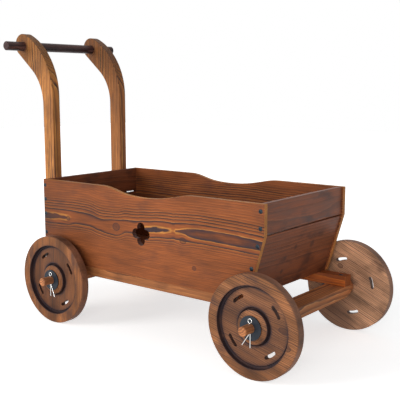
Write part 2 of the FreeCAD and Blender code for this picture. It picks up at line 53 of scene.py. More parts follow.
# ---------------------------------------------------------------- light
# lamps as place, width and power: two soft boxes on the near side, which leave the front darker
LAMPS = {
    "rear_side_lamp": ((-1.3, -2.6, 1.3), 1.3, 42.0),
    "front_side_lamp": ((1.3, -2.6, 0.7), 1.3, 36.0),
}
TARGET = (0.0, 0.0, 0.2)
SKY = "#DCDEE2"
SKY_STRENGTH = 0.36
FLOOR_WIDTH = 12.0
FLOOR_COLOUR = "#F4F4F2"
FLOOR_GLOW = 0.6            # of the floor under the cart, as the camera sees it
FLOOR_FADE = (0.3, 1.3)     # from the cart's middle, to where the floor is plain white

# ---------------------------------------------------------------- board axes, as turns in degrees
ALONG_X = (0, 0, 0)
ALONG_Y = (0, 0, 90)
ALONG_Z = (0, -90, 0)


def linear(code):
    """RGBA of an sRGB hex value."""
    parts = [int(code[i:i + 2], 16) / 255 for i in (1, 3, 5)]
    return [p / 12.92 if p <= 0.04045 else ((p + 0.055) / 1.055) ** 2.4 for p in parts] + [1.0]


def add(tree, kind, inputs=(), **settings):
    """One node with its settings, and its inputs by name or number: a node, a socket or a value."""
    node = tree.nodes.new(kind)
    for key, value in settings.items():
        setattr(node, key, value)
    for key, value in dict(inputs).items():
        if isinstance(value, bpy.types.Node):
            value = value.outputs[0]
        if isinstance(value, bpy.types.NodeSocket):
            tree.links.new(value, node.inputs[key])
        else:
            node.inputs[key].default_value = value
    return node


def new_material(name):
    """Material with its node tree and its shader."""
    material = bpy.data.materials.new(name)
    material.use_nodes = True
    return material, material.node_tree, material.node_tree.nodes["Principled BSDF"]


def wear(node, material):
    """Give a CAD node its material."""
    slots = nodes[node].data.materials
    slots.clear()
    slots.append(material)


def corners(name):
    """Lowest and highest corner of a CAD node."""
    low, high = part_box(name)
    return Vector(low), Vector(high)


def middle(name):
    """Centre of a CAD node's box."""
    low, high = corners(name)
    return (low + high) / 2


# ---------------------------------------------------------------- scorched fir
# Fir is scorched, wire brushed and oiled. The flame chars the hard latewood to a blue black,
# the brush leaves it standing a little proud, and the earlywood between shows orange brown.
# Oil gives it a low, uneven sheen.
# Patterns are given as (length along the grain, width) in mm.
SLOW_BENDS = (170, 70)      # of the whole tree
WAVER = (24, 7)             # of each ring
WAVER_REACH = 1.4           # mm, over the waver's full swing
DRIFT = (260, 900)          # of the rings along the board
UNEVEN_YEARS = (700, 16)
RING_CLOUDS = (75, 22)      # patches where the rings are bold or faint
FIBRES = (45, 1.4)          # coarser than the real ones, so that they show
FIBRE_CONTRAST = 0.38
BROAD_PATCHES = (110, 30)
SMOKE = (60, 35)
KNOT_PULL = 0.3             # how soon a knot's bend of the rings fades away from it
SPOT_DARKNESS = 0.6          # of the darkening in the middle of a spot: soot, and on some spots painted shadow
TURNED_FACE = (-7.0, -3.0)  # mm outwards from a wheel's middle, where its rings of soot and painted shade start
RIDGE_HEIGHT = 0.4          # mm, of the brushed latewood
FIBRE_RIDGE = 0.7           # of a fibre's height in a ring's
BUMP_STRENGTH = 0.7
# open pores and soot swallow most of the surface's gloss
WOOD_SPECULAR = 0.2
# how far soot lies over a knot: (share of the way in from its rim, share)
KNOT_SOOT = ((0.0, 0.0), (0.12, 0.9), (0.32, 0.3), (0.5, 0.1), (0.62, 0.5), (0.74, 0.1), (1.0, 0.4))


def set_stops(ramp, stops):
    """Give a colour ramp its stops, as (position, RGBA)."""
    elements = ramp.color_ramp.elements
    while len(elements) < len(stops):
        elements.new(1.0)
    for element, (position, colour) in zip(elements, stops):
        element.position = position
        element.color = colour


def drawn_curve(tree, along, points):
    """Value of a curve drawn through points of (mm, value)."""
    (start, stop), (low, high) = [(min(axis), max(axis)) for axis in zip(*points)]
    part = add(tree, "ShaderNodeMapRange", {0: along, 1: start, 2: stop})
    node = add(tree, "ShaderNodeFloatCurve", {"Value": part})
    curve = node.mapping.curves[0]
    for _ in points[2:]:
        curve.points.new(0.5, 0.5)
    for point, (x, y) in zip(curve.points, points):
        point.location = ((x - start) / (stop - start), (y - low) / (high - low))
    node.mapping.update()
    return add(tree, "ShaderNodeMapRange", {0: node, 3: low, 4: high})


def streaks(tree, place, length, width, seed, detail=2.0):
    """Noise drawn out along the grain, in streaks of a length and width in mm."""
    scaled = add(tree, "ShaderNodeVectorMath", {0: place, 1: (1 / length, 1 / width, 1 / width)},
                 operation="MULTIPLY")
    return add(tree, "ShaderNodeTexNoise", {"Vector": scaled, "W": seed, "Scale": 1.0,
                                            "Detail": detail}, noise_dimensions="4D")


def bend_round_knots(tree, place, knots):
    """Board places with the rings bent round the knots, and how deep each lies in a knot."""
    bent, core = place, None
    for along, up, length, height, push in knots:
        offset = add(tree, "ShaderNodeVectorMath", {0: place, 1: (along, 0, up)},
                     operation="SUBTRACT")
        scaled = add(tree, "ShaderNodeVectorMath", {0: offset, 1: (1 / length, 0, 1 / height)},
                     operation="MULTIPLY")
        square = add(tree, "ShaderNodeVectorMath", {0: scaled, 1: scaled}, operation="DOT_PRODUCT")
        reach = add(tree, "ShaderNodeMath", {0: square.outputs["Value"], 1: -KNOT_PULL},
                    operation="MULTIPLY")
        near = add(tree, "ShaderNodeMath", {0: math.e, 1: reach}, operation="POWER")
        shove = add(tree, "ShaderNodeVectorMath", {0: scaled, 1: (0, 0, -push)},
                    operation="MULTIPLY")
        shove = add(tree, "ShaderNodeVectorMath", {0: shove, "Scale": near}, operation="SCALE")
        bent = add(tree, "ShaderNodeVectorMath", {0: bent, 1: shove}, operation="ADD")
        inside = add(tree, "ShaderNodeMapRange", {0: square.outputs["Value"], 1: 1.0, 2: 0.0})
        core = inside if core is None else add(tree, "ShaderNodeMath", {0: core, 1: inside},
                                               operation="MAXIMUM")
    return bent, core


def fir(name, centre, turn=ALONG_X, tones=("#C6843F", "#8D4D29", "#542B1B", "#2E2126"),
        heart=(30.0, 0.0), ring=5.0, flame=0.5, wander=3.0, bold=(0.0, 200.0, 300.0, 1.0),
        uneven=1.2, knots=(), heart_line=None, ring_line=None, growth_line=None, shade_line=None,
        soot=0.4, soot_and_shade_rings=None, turned_side=1, scorches_and_shade=(), edge=None, dark_cut=None,
        roughness=0.55, patchy=0.22, even_years=0.45, depth_of_tone=1.0, seed=0.0):
    """Scorched fir whose grain runs along the board.

    centre and turn place the board, with its length along X, its depth along Y and its width
    along Z. tones are the bright line after each ring, the earlywood, the latewood and the char.
    heart is where the tree's middle lies in the board's depth and width, ring the width of a
    year's growth, flame how many rings its rise and fall along the board crosses. bold holds
    the middle of the boldly ringed band, how far to either side it is full and faded, and what
    is left there. uneven is by how many rings the years differ in width. heart_line, ring_line,
    growth_line and shade_line are drawn curves, see PANEL_HEART and what follows it. soot is
    the depth of the soot clouds, soot_and_shade_rings the soot and painted shade in a wheel's
    turned grooves and at the foot of its rim, on the side that turned_side names, and scorches the
    round dark spots, scorched and in places painted shadow. edge is the tone of the board's sawn
    edges and how far it covers them, dark_cut where they are coloured char: charred, and on a
    wheel's recess walls also painted shade. patchy is the broad light and dark, even_years the
    weakest year's boldness, depth_of_tone that of all rings. All lengths are in mm.
    """
    material, tree, shader = new_material(name)
    glow, early, late, char = [linear(code) for code in tones]

    coords = add(tree, "ShaderNodeTexCoord")
    board = add(tree, "ShaderNodeMapping",
                {"Vector": coords.outputs["Object"], "Location": centre,
                 "Rotation": [math.radians(angle) for angle in turn], "Scale": (MM, MM, MM)},
                vector_type="TEXTURE")

    # the tree's slow bends, and the small waver of each line
    slow = streaks(tree, board, *SLOW_BENDS, seed, 1.0)
    waver = streaks(tree, board, *WAVER, seed)
    place = add(tree, "ShaderNodeVectorMath",
                {0: slow.outputs["Color"], 1: (0, 2 * wander, 2 * wander), 2: board},
                operation="MULTIPLY_ADD")
    place = add(tree, "ShaderNodeVectorMath",
                {0: waver.outputs["Color"], 1: (0, WAVER_REACH, WAVER_REACH), 2: place},
                operation="MULTIPLY_ADD")
    back = -wander - WAVER_REACH / 2
    place = add(tree, "ShaderNodeVectorMath", {0: place, 1: (0, back, back)}, operation="ADD")
    core = None
    if knots:
        place, core = bend_round_knots(tree, place, knots)

    # rings, counted from the tree's middle
    parts = add(tree, "ShaderNodeSeparateXYZ", {0: place})
    rise = drawn_curve(tree, parts.outputs["X"], heart_line) if heart_line else heart[1]
    height = add(tree, "ShaderNodeMath", {0: parts.outputs["Z"], 1: rise}, operation="SUBTRACT")
    growth = drawn_curve(tree, height, growth_line) if growth_line else height
    depth = add(tree, "ShaderNodeMath", {0: parts.outputs["Y"], 1: heart[0]}, operation="SUBTRACT")
    section = add(tree, "ShaderNodeCombineXYZ", {"Y": depth, "Z": growth})
    radius = add(tree, "ShaderNodeVectorMath", {0: section}, operation="LENGTH").outputs["Value"]
    outward = add(tree, "ShaderNodeMath", {0: radius, 1: abs(heart[0])}, operation="SUBTRACT")
    shift = drawn_curve(tree, parts.outputs["X"], ring_line) if ring_line else 0.0
    count = add(tree, "ShaderNodeMath", {0: outward, 1: 1 / ring, 2: shift},
                operation="MULTIPLY_ADD")
    if flame:
        drift = streaks(tree, board, *DRIFT, seed + 0.5, 0.0)
        count = add(tree, "ShaderNodeMath", {0: drift, 1: 2 * flame, 2: count},
                    operation="MULTIPLY_ADD")
    if uneven:
        spread = streaks(tree, place, *UNEVEN_YEARS, seed + 0.6, 1.0)
        count = add(tree, "ShaderNodeMath", {0: spread, 1: uneven, 2: count},
                    operation="MULTIPLY_ADD")
    phase = add(tree, "ShaderNodeMath", {0: count}, operation="FRACT")
    number = add(tree, "ShaderNodeMath", {0: count}, operation="FLOOR")
    year = add(tree, "ShaderNodeTexWhiteNoise", {"W": number}, noise_dimensions="1D")

    # each year starts bright, darkens slowly and stops at once
    colours = add(tree, "ShaderNodeValToRGB", {0: phase})
    set_stops(colours, [(0.0, glow), (0.12, early), (0.45, early), (0.68, late), (0.82, char),
                        (0.95, char), (1.0, glow)])
    relief = add(tree, "ShaderNodeValToRGB", {0: phase})
    black, white = (0, 0, 0, 1), (1, 1, 1, 1)
    set_stops(relief, [(0.0, black), (0.5, black), (0.86, white), (0.95, white), (1.0, black)])

    # bands and patches where the rings are bold or faint
    off = add(tree, "ShaderNodeMath", {0: height, 1: bold[0]}, operation="SUBTRACT")
    off = add(tree, "ShaderNodeMath", {0: off}, operation="ABSOLUTE")
    band = add(tree, "ShaderNodeMapRange", {0: off, 1: bold[1], 2: bold[2], 3: 1.0, 4: bold[3]},
               interpolation_type="SMOOTHSTEP")
    cloud = streaks(tree, board, *RING_CLOUDS, seed + 0.2)
    cloudy = add(tree, "ShaderNodeMapRange", {0: cloud, 1: 0.32, 2: 0.6, 3: 0.7, 4: 1.15})
    yearly = add(tree, "ShaderNodeMapRange", {0: year, 3: even_years, 4: 1.15})
    strength = add(tree, "ShaderNodeMath", {0: band, 1: cloudy}, operation="MULTIPLY")
    strength = add(tree, "ShaderNodeMath", {0: strength, 1: yearly}, operation="MULTIPLY")
    strength = add(tree, "ShaderNodeMath", {0: strength, 1: depth_of_tone}, operation="MULTIPLY",
                   use_clamp=True)
    ringed = add(tree, "ShaderNodeMix", {0: strength, 6: early, 7: colours}, data_type="RGBA")

    # fibres, and broad light and dark
    fibre = streaks(tree, place, *FIBRES, seed + 0.3, 4.0)
    fibre_tone = add(tree, "ShaderNodeMapRange", {0: fibre, 1: 0.25, 2: 0.75,
                                                  3: 1 - FIBRE_CONTRAST, 4: 1 + FIBRE_CONTRAST})
    broad = streaks(tree, board, *BROAD_PATCHES, seed + 0.4)
    broad_tone = add(tree, "ShaderNodeMapRange", {0: broad, 1: 0.3, 2: 0.7, 3: 1 - patchy,
                                                  4: 1 + patchy})
    tone = add(tree, "ShaderNodeMath", {0: fibre_tone, 1: broad_tone}, operation="MULTIPLY")

    #     soot in clouds, round knots and in grooves; painted shade in grooves, painted shadow in
    #     spots
    smoke = streaks(tree, board, *SMOKE, seed + 0.7, 3.0)
    amount = add(tree, "ShaderNodeMapRange", {0: smoke, 1: 0.5, 2: 0.72, 3: 0.0, 4: soot},
                 interpolation_type="SMOOTHSTEP")
    if shade_line:
        along_board = drawn_curve(tree, parts.outputs["X"], shade_line)
        tone = add(tree, "ShaderNodeMath", {0: tone, 1: along_board}, operation="MULTIPLY")
    toned = add(tree, "ShaderNodeVectorMath", {0: ringed.outputs[2], "Scale": tone},
                operation="SCALE")
    # soot and painted shade in the turned grooves and at the foot of the rim
    if soot_and_shade_rings:
        flat = add(tree, "ShaderNodeVectorMath", {0: board, 1: (1, 0, 1)}, operation="MULTIPLY")
        turned = add(tree, "ShaderNodeVectorMath", {0: flat}, operation="LENGTH")
        rings = drawn_curve(tree, turned.outputs["Value"], soot_and_shade_rings)
        broken = add(tree, "ShaderNodeMapRange", {0: smoke, 1: 0.3, 2: 0.65, 3: 0.7, 4: 1.2})
        rings = add(tree, "ShaderNodeMath", {0: rings, 1: broken}, operation="MULTIPLY")
        # only on the turned face, not on the flat one towards the cart
        inside = add(tree, "ShaderNodeSeparateXYZ", {0: board})
        out = add(tree, "ShaderNodeMath", {0: inside.outputs["Y"], 1: turned_side},
                  operation="MULTIPLY")
        out = add(tree, "ShaderNodeMapRange", {0: out, 1: TURNED_FACE[0], 2: TURNED_FACE[1]})
        rings = add(tree, "ShaderNodeMath", {0: rings, 1: out}, operation="MULTIPLY")
        amount = add(tree, "ShaderNodeMath", {0: amount, 1: rings}, operation="MAXIMUM")
    # round dark spots: scorched, and in places painted shadow
    for along, up, radius in scorches_and_shade:
        offset = add(tree, "ShaderNodeVectorMath", {0: place, 1: (along, 0, up)},
                     operation="SUBTRACT")
        flat = add(tree, "ShaderNodeVectorMath", {0: offset, 1: (1, 0, 1)}, operation="MULTIPLY")
        away = add(tree, "ShaderNodeVectorMath", {0: flat}, operation="LENGTH").outputs["Value"]
        spot = add(tree, "ShaderNodeMapRange",
                   {0: away, 1: 1.5 * radius, 2: 0.5 * radius, 3: 0.0, 4: SPOT_DARKNESS},
                   interpolation_type="SMOOTHSTEP")
        amount = add(tree, "ShaderNodeMath", {0: amount, 1: spot}, operation="MAXIMUM")
    if core:
        heartwood = add(tree, "ShaderNodeMapRange", {0: core, 1: 0.0, 2: 0.1, 3: 0.0, 4: 0.5})
        toned = add(tree, "ShaderNodeMix", {0: heartwood, 6: toned, 7: late},
                    data_type="RGBA").outputs[2]
        amount = add(tree, "ShaderNodeMath", {0: amount, 1: drawn_curve(tree, core, KNOT_SOOT)},
                     operation="MAXIMUM")
    darkened = add(tree, "ShaderNodeMix", {0: amount, 6: toned, 7: char}, data_type="RGBA").outputs[2]

    if edge:
        edge_colour, edge_amount = edge
        side = add(tree, "ShaderNodeSeparateXYZ", {0: coords.outputs["Normal"]})
        facing = add(tree, "ShaderNodeMath", {0: side.outputs["Y"]}, operation="ABSOLUTE")
        cut = add(tree, "ShaderNodeMapRange", {0: facing, 1: 0.9, 2: 0.4, 3: 0.0, 4: edge_amount})
        shade = add(tree, "ShaderNodeVectorMath", {0: linear(edge_colour)[:3], "Scale": tone},
                    operation="SCALE")
        if dark_cut:
            #             the flame also reached in here; on a wheel's recess walls the char also
            #             paints shade
            along, up, reach = dark_cut
            offset = add(tree, "ShaderNodeVectorMath", {0: board, 1: (along, 0, up)},
                         operation="SUBTRACT")
            flat = add(tree, "ShaderNodeVectorMath", {0: offset, 1: (1, 0, 1)},
                       operation="MULTIPLY")
            away = add(tree, "ShaderNodeVectorMath", {0: flat}, operation="LENGTH")
            beyond = add(tree, "ShaderNodeMath", {0: away.outputs["Value"], 1: reach},
                         operation="GREATER_THAN")
            shade = add(tree, "ShaderNodeMix", {0: beyond, 6: char, 7: shade},
                        data_type="RGBA").outputs[2]
        darkened = add(tree, "ShaderNodeMix", {0: cut, 6: darkened, 7: shade},
                    data_type="RGBA").outputs[2]
    tree.links.new(darkened, shader.inputs["Base Color"])

    sheen = add(tree, "ShaderNodeMapRange", {0: fibre, 1: 0.3, 2: 0.7, 3: roughness - 0.1,
                                             4: roughness + 0.12})
    tree.links.new(sheen.outputs[0], shader.inputs["Roughness"])
    shader.inputs["Specular IOR Level"].default_value = WOOD_SPECULAR
    ridges = add(tree, "ShaderNodeMath", {0: relief, 1: strength}, operation="MULTIPLY")
    ridges = add(tree, "ShaderNodeMath", {0: fibre, 1: FIBRE_RIDGE, 2: ridges},
                 operation="MULTIPLY_ADD")
    bump = add(tree, "ShaderNodeBump", {"Height": ridges, "Strength": BUMP_STRENGTH,
                                        "Distance": RIDGE_HEIGHT * MM})
    tree.links.new(bump.outputs[0], shader.inputs["Normal"])
    return material


# the near panel's grain, as it shows on its outer face: (mm ahead of the origin, mm above the
# panel's middle height) of the heart, and (mm ahead, rings) of the rings that reach the face
PANEL_HEART = ((-265, 8), (-200, 10), (-150, 12.5), (-100, 6), (-60, 4), (-20, 11), (20, 11),
               (55, 14), (100, 16), (150, 17), (200, 16.5), (292, 13))
PANEL_RINGS = ((-265, -0.16), (-215, -0.12), (-188, 0.0), (-150, 0.26), (-100, 0.3), (-78, 0.14),
               (-58, 0.1), (-36, 0.2), (-15, 0.3), (12, 0.0), (35, -0.14), (60, -0.12), (88, 0.0),
               (93, 0.08), (98, -0.02), (112, -0.12), (135, -0.26), (160, -0.34), (292, -0.2))
# (mm from the heart's line, mm of growth at an even pace): the lower side grew more slowly
PANEL_GROWTH = ((-110, -178), (-60, -88), (-25, -26), (-12, -10), (0, 0), (12, 9.2), (37, 37),
                (85, 92))
# brightness along the panel: (mm ahead of the origin, share)
PANEL_SHADE = ((-265, 0.72), (-150, 0.86), (0, 1.08), (150, 1.0), (292, 0.98))
# knots as (mm along, mm across, half length, half height, mm that they push the rings aside)
PANEL_KNOTS = ((-52, 7, 10, 8, 3.0), (-190, 9, 6, 5, 2.0), (116, 1, 8, 6, 4.0),
               (142, -46, 5, 4, 1.5))
# where cut edges are charred: (mm along, mm across, reach)
PANEL_CUT_OUT = (13.2, 0.5, 26.0)
INSIDE_RIM = (0, 0, 80.0)   # of a wheel: its turned recess, groove and slots, whose walls get char colour, partly painted shade
# soot and painted shade on a turned wheel, deepest in its grooves: (mm from its axis, share)
WHEEL_SOOT_AND_SHADE = ((0, 0.0), (21, 0.15), (26, 0.1), (29, 0.5), (31, 1.0), (34, 0.9), (38, 0.5),
              (46, 0.42), (58, 0.42), (64, 0.6), (70, 1.0), (71.5, 0.45), (76, 0.1), (86, 0.0),
              (90, 0.2))
PANEL_TONES = ("#BC7B39", "#8A4B26", "#5A3221", "#352629")


def panel_wood():
    """Side panels: wide plain-sawn fir with a bold flame along the middle."""
    edge = ("#C98748", 0.75)
    low, high = corners("side_panel_near")
    centre = Vector((0, low.y, (low.z + high.z) / 2))
    wear("side_panel_near",
         fir("scorched_fir_near_panel", centre, tones=PANEL_TONES, heart=(14.0, 0.0), ring=5.3,
             flame=0.0, wander=1.0, uneven=0.0, bold=(7.0, 23.0, 38.0, 0.2), even_years=0.7,
             depth_of_tone=1.15, knots=PANEL_KNOTS, heart_line=PANEL_HEART,
             ring_line=PANEL_RINGS, growth_line=PANEL_GROWTH, shade_line=PANEL_SHADE, soot=0.3,
             edge=edge, dark_cut=PANEL_CUT_OUT))
    low, high = corners("side_panel_far")
    centre = Vector((0, high.y, (low.z + high.z) / 2))
    wear("side_panel_far",
         fir("scorched_fir_far_panel", centre, tones=PANEL_TONES, heart=(-16.0, 18.0), ring=5.5,
             flame=1.2, bold=(10.0, 24.0, 50.0, 0.22), growth_line=PANEL_GROWTH, edge=edge,
             dark_cut=PANEL_CUT_OUT, seed=3.7))


# smoky spots on the lower front board: (mm across, mm above its middle, radius)
FRONT_SCORCHES = ((-45, 0, 6.0), (-43, -24, 4.0), (-16, 18, 4.5), (44, 14, 7.0))


def board_wood():
    """Boards across the box, scorched darker."""
    dark = ("#A2643F", "#7E462B", "#54301F", "#2A1D1E")
    for i, name in enumerate(("front_board_upper", "front_board_lower",
                              "rear_board_upper", "rear_board_lower")):
        wear(name, fir("dark_scorched_fir_" + name, middle(name), ALONG_Y, dark,
                       heart=(26.0, -14.0), ring=6.5, flame=1.4, soot=0.7, roughness=0.45,
                       scorches_and_shade=FRONT_SCORCHES if name == "front_board_lower" else (),
                       depth_of_tone=0.35, seed=10.3 + i))
    for i in range(1, 6):
        name = "floor_board_%d" % i
        wear(name, fir("dark_scorched_fir_" + name, middle(name), ALONG_Y, dark,
                       heart=(8.0, 38.0), ring=6.0, flame=1.0, soot=0.5, seed=20.1 + i))


# brightness along an axle beam: (mm from its middle, share), brightest at the spindles' tips
BEAM_SHADE = ((-204, 1.2), (-180, 0.9), (-170, 1.0), (170, 1.0), (180, 0.9), (204, 1.2))
# brightness of a post's wood: (mm above its middle, share), darker towards the hook at the top
POST_SHADE = ((-237, 0.92), (-60, 1.0), (120, 0.9), (175, 0.55), (237, 0.46))


def frame_wood():
    """Rails, axle beams, hooked posts and the bar."""
    # the far rail's tones are lighter and more orange than the near rail's: painted light on its
    # side, which lies in the box's shade
    rail_tones_far_painted_light = {"near": ("#C8894F", "#A0653C", "#6A3E28", "#3A2724"),
                  "far": ("#DC883C", "#B65E27", "#783E1D", "#36221F")}
    for i, side in enumerate(("near", "far")):
        name = "rail_" + side
        wear(name, fir("oiled_fir_" + name, middle(name), ALONG_X, rail_tones_far_painted_light[side],
                       heart=(22.0, 12.0), ring=4.0, soot=0.35, edge=("#7E4220", 0.8),
                       depth_of_tone=0.5, seed=30.0 + i))
    for i, end in enumerate(("front", "rear")):
        name = "axle_beam_" + end
        wear(name, fir("oiled_fir_" + name, middle(name), ALONG_Y,
                       ("#DDA46C", "#BE794C", "#7E4F37", "#3E2D2B"), heart=(14.0, 20.0), ring=4.5,
                       uneven=2.0, shade_line=BEAM_SHADE, soot=0.5, depth_of_tone=0.6,
                       seed=40.0 + i))
    #     the wood is darker round the bar's hole: charred at its edge, with the bar's painted
    #     shadow
    bar, post = middle("handle_bar"), middle("handle_post_near")
    bar_hole_char_and_shadow = ((bar.z - post.z) / MM, (post.x - bar.x) / MM, 12.0)
    knots = {"near": ((155, 14, 12, 6, 6.0), (28, 8, 5, 3, 2.0)), "far": ((60, -10, 9, 5, 4.0),)}
    post_tones = {"near": ("#E6AE66", "#C58145", "#84502F", "#432B25"),
                  "far": ("#D79C5A", "#AE6E3D", "#75462B", "#3D2824")}
    for i, side in enumerate(("near", "far")):
        name = "handle_post_" + side
        wear(name, fir("scorched_fir_" + name, middle(name), ALONG_Z,
                       post_tones[side], heart=(34.0, 30.0), ring=4.2, flame=1.0, uneven=2.5,
                       knots=knots[side], scorches_and_shade=(bar_hole_char_and_shadow,), shade_line=POST_SHADE, soot=0.45,
                       depth_of_tone=0.75, seed=50.0 + i))
    wear("handle_bar", fir("stained_fir_bar", middle("handle_bar"), ALONG_Y,
                           ("#775650", "#4F3531", "#3A2524", "#21171A"), heart=(9.0, 5.0), ring=4.0,
                           roughness=0.4, depth_of_tone=0.8, seed=60.0))


# each wheel's grain angle in degrees, and its knots as in PANEL_KNOTS
WHEELS = {
    "near_front": (-14.0, ((73, -2, 6, 5, 3.0), (55, 18, 10, 6, 5.0))),
    "near_rear": (86.0, ()),
    "far_front": (-24.0, ((-30, 28, 6, 5, 3.0),)),
    "far_rear": (20.0, ()),
}
# bright line, earlywood, latewood and char of each wheel
WHEEL_TONES_WITH_PAINTED_LIGHT = {
    "near_front": ("#CF9258", "#8D5B39", "#553627", "#2F2529"),
    "near_rear": ("#D08F4A", "#87532F", "#503023", "#2C2226"),
    # paler than the others: painted light on its inner face, which lies in the box's shade
    "far_front": ("#DDB592", "#BE8E6C", "#8A624E", "#463430"),
    "far_rear": ("#CF9258", "#8D5B39", "#553627", "#2F2529"),
}
# darkly scorched spots of each wheel, some of them painted shadow: (mm along, mm across, radius)
WHEEL_SCORCHES_AND_SHADE = {
    "near_front": ((-42, -52, 14.0), (30, 50, 10.0)),
    "near_rear": ((-30, 60, 12.0),),
    # painted shadow of the box and beam over the lower left, with some scorching there too
    "far_front": ((10, -76, 42.0), (-38, -61, 32.0)),
    "far_rear": ((30, 40, 12.0),),
}


def wheel_wood():
    """Wheels turned from quarter-sawn fir, each with the grain at its own angle."""
    for i, (corner, (angle, knots)) in enumerate(WHEELS.items()):
        name = "wheel_" + corner
        wear(name, fir("turned_fir_" + name, middle(name), (0, -angle, 0), WHEEL_TONES_WITH_PAINTED_LIGHT[corner],
                       heart=(40.0, 150.0), ring=3.1, uneven=3.0, flame=1.0, wander=5.0,
                       knots=knots, soot=0.7, soot_and_shade_rings=WHEEL_SOOT_AND_SHADE,
                       turned_side=-1 if "near" in corner else 1, scorches_and_shade=WHEEL_SCORCHES_AND_SHADE[corner],
                       edge=("#7A5442", 0.7), dark_cut=INSIDE_RIM, patchy=0.6, even_years=0.2,
                       depth_of_tone=0.8, seed=70.0 + i))


# ---------------------------------------------------------------- steel fittings
SCREW_HEAD_WIDTH = 8.0
SCREW_DOME = 1.3            # of the rounded head above its rim
SCREW_SHANK = 4.0
CROSS_WIDTH = 1.1
CROSS_SPAN = 4.6
CROSS_DEPTH = 1.0
HOOK_SCREW_ANGLE = 125.0    # of the hook screws in the XZ plane, from +X towards +Z
PIN_WIRE = 1.7
PIN_GAP = 0.12              # between the two legs of a pin
PIN_EYE_RADIUS = 3.6        # to the middle of the wire
PIN_BEND_DROP = 1.3         # from the spindle's surface to the bend
PIN_BENT_LENGTH = 26.0
PIN_CURVE_LENGTH = 4.0      # of the short curve at the bend
PIN_WIDE_BEND = 25.0        # degrees, past which a bent leg ends above the straight one
PIN_SHORTER = 1.0           # mm, of the straight leg where the bent one ends lower
EYE_STEPS = 28
CURVE_STEPS = 6
SCREW_SEGMENTS = 20
SCREW_RINGS = 12
WIRE_SIDES = 12             # of a pin's wire and a screw's shank
SCREW_SMOOTH = 40           # degrees, below which an edge is shaded smooth
PIN_SMOOTH = 50
SAME_PLACE = 0.001          # mm, within which two corners are one
RIM_DEPTH = 0.01            # mm, below the top of a CAD screw's head, where its rim still is
SPINDLE_RADIUS = 8.25
METAL_SPOT = 2.5            # mm, coarser than the real mottling so that it shows
# degrees that one leg of each pin is bent, from straight down towards the front
PIN_BEND = {"near_front": -34.0, "near_rear": 22.0, "far_front": -34.0, "far_rear": 22.0}


def metal(name, code, metallic, roughness, mottle):
    """Small steel part: an even coat, with the faint mottling of a worn finish."""
    material, tree, shader = new_material(name)
    coords = add(tree, "ShaderNodeTexCoord")
    spots = add(tree, "ShaderNodeTexNoise", {"Vector": coords.outputs["Object"],
                                             "Scale": 1 / (METAL_SPOT * MM), "Detail": 3.0})
    amount = add(tree, "ShaderNodeMapRange", {0: spots, 3: 1 - mottle, 4: 1 + mottle})
    colour = add(tree, "ShaderNodeVectorMath", {0: linear(code)[:3], "Scale": amount},
                 operation="SCALE")
    tree.links.new(colour.outputs[0], shader.inputs["Base Color"])
    rough = add(tree, "ShaderNodeMapRange", {0: spots, 3: roughness - 0.1, 4: roughness + 0.1})
    tree.links.new(rough.outputs[0], shader.inputs["Roughness"])
    shader.inputs["Metallic"].default_value = metallic
    return material


def new_tree(name, sizes):
    """Geometry tree with its sizes in mm as named inputs: the tree, its input and its output."""
    tree = bpy.data.node_groups.new(name, "GeometryNodeTree")
    tree.interface.new_socket("Geometry", in_out="INPUT", socket_type="NodeSocketGeometry")
    for label, size in sizes.items():
        socket = tree.interface.new_socket(label, in_out="INPUT", socket_type="NodeSocketFloat")
        socket.default_value = size * MM
    tree.interface.new_socket("Material", in_out="INPUT", socket_type="NodeSocketMaterial")
    tree.interface.new_socket("Geometry", in_out="OUTPUT", socket_type="NodeSocketGeometry")
    return tree, tree.nodes.new("NodeGroupInput"), tree.nodes.new("NodeGroupOutput")


def finish_tree(tree, start, end, made):
    """Close a geometry tree: real geometry, in its material."""
    real = add(tree, "GeometryNodeRealizeInstances", {0: made})
    dressed = add(tree, "GeometryNodeSetMaterial", {"Geometry": real,
                                                    "Material": start.outputs["Material"]})
    tree.links.new(dressed.outputs[0], end.inputs[0])


def grow(name, mesh, tree, sizes, material, smooth_angle):
    """Plain object from a mesh of points or lines, grown by a geometry tree."""
    seed_object = bpy.data.objects.new(name + "_seed", mesh)
    bpy.context.scene.collection.objects.link(seed_object)
    modifier = seed_object.modifiers.new("grow", "NODES")
    modifier.node_group = tree
    wanted = {label: size * MM for label, size in sizes.items()}
    wanted["Material"] = material
    for item in tree.interface.items_tree:
        if item.in_out == "INPUT" and item.name in wanted:
            modifier[item.identifier] = wanted[item.name]
    graph = bpy.context.evaluated_depsgraph_get()
    grown = bpy.data.meshes.new_from_object(seed_object.evaluated_get(graph))
    seed_object.modifiers.remove(modifier)
    bpy.data.objects.remove(seed_object)
    grown.name = name
    grown.shade_smooth()
    grown.set_sharp_from_angle(angle=math.radians(smooth_angle))
    thing = bpy.data.objects.new(name, grown)
    bpy.context.scene.collection.objects.link(thing)
    return thing


